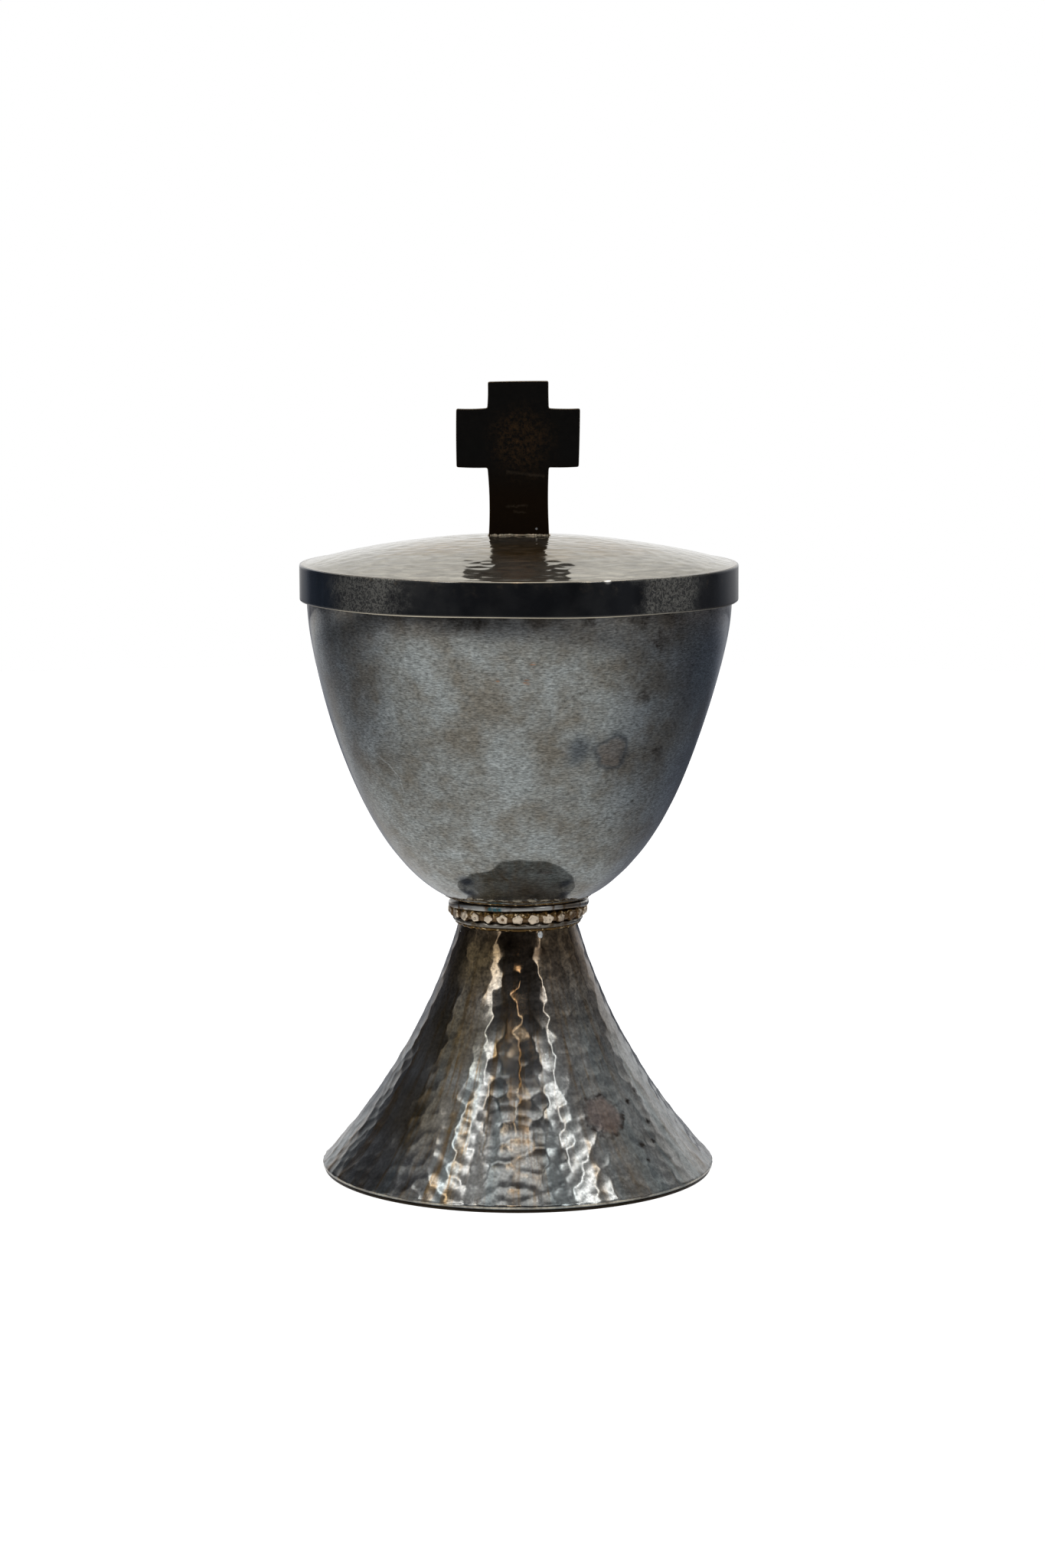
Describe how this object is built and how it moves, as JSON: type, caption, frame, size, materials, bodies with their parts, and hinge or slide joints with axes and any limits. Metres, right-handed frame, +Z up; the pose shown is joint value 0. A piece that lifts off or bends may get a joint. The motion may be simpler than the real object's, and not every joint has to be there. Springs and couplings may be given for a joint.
{
  "type": "ciborium",
  "caption": "Lidded altar cup of hammered plated metal: a raised bowl on a flared foot with a beaded collar, under a low domed lid with a flat cross that lifts off.",
  "frame": {"origin": "on the table, under the middle of the foot", "axes": "+Z up along the cup's axis, +X to the viewer's right in the picture, -Y towards the viewer"},
  "size_m": [0.1146, 0.1146, 0.208],
  "materials": {
    "lid_plate": "silver plated, hammered and polished",
    "skirt_plate": "silver plated, tarnished black",
    "cross_plate": "silver plated, tarnished brown-black",
    "bowl_plate": "silver plated, planished, tarnished grey",
    "collar_plate": "silver plated, worn",
    "bead_plate": "silver plated, rubbed bright",
    "foot_plate": "silver plated, hammered, tarnished dark",
    "tie_brass": "turned"
  },
  "bodies": {
    "cup": {"cup_bowl": "bowl_plate", "collar_plate": "collar_plate", "bead_ring": "bead_plate", "collar_base": "collar_plate", "foot_shell": "foot_plate", "foot_base_ring": "foot_plate", "tie_stud": "tie_brass", "tie_washer": "tie_brass", "tie_nut": "tie_brass"},
    "lid": {"lid_dome": "lid_plate", "lid_skirt": "skirt_plate", "cross_finial": "cross_plate"}
  },
  "joints": [
    {"name": "lid_lift", "type": "slide", "parent": "cup", "child": "lid", "axis": [0, 0, 1], "range_m": [0, 0.12]}
  ]
}
